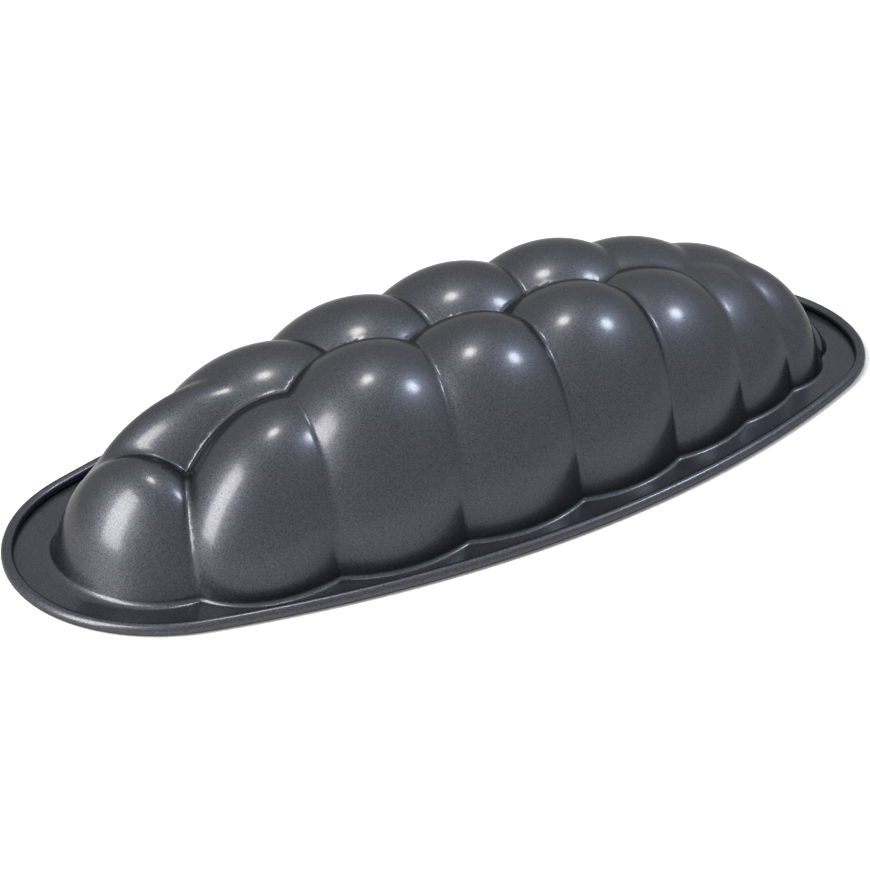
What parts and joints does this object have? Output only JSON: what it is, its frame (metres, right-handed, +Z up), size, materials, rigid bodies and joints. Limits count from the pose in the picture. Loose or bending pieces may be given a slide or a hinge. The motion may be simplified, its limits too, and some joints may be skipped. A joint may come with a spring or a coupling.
{
  "type": "brioche mould",
  "caption": "Long pressed-steel baking mould for a plaited loaf: bulges in two rows, a flat oval flange and a wired, curled edge, lying open side down.",
  "frame": {"origin": "middle of the rim, on the surface that the rim lies on", "axes": "+Z up, towards the tops of the bulges; +X along the mould to its slim end; +Y to the back row of bulges"},
  "size_m": [0.38, 0.163, 0.062],
  "materials": {
    "coated_sheet": "satin dark grey non-stick coating with a fine metallic grain",
    "wire": "plain drawn steel wire"
  },
  "bodies": {
    "root": {"pressed_shell": "coated_sheet", "rim_wire": "wire"}
  },
  "joints": []
}
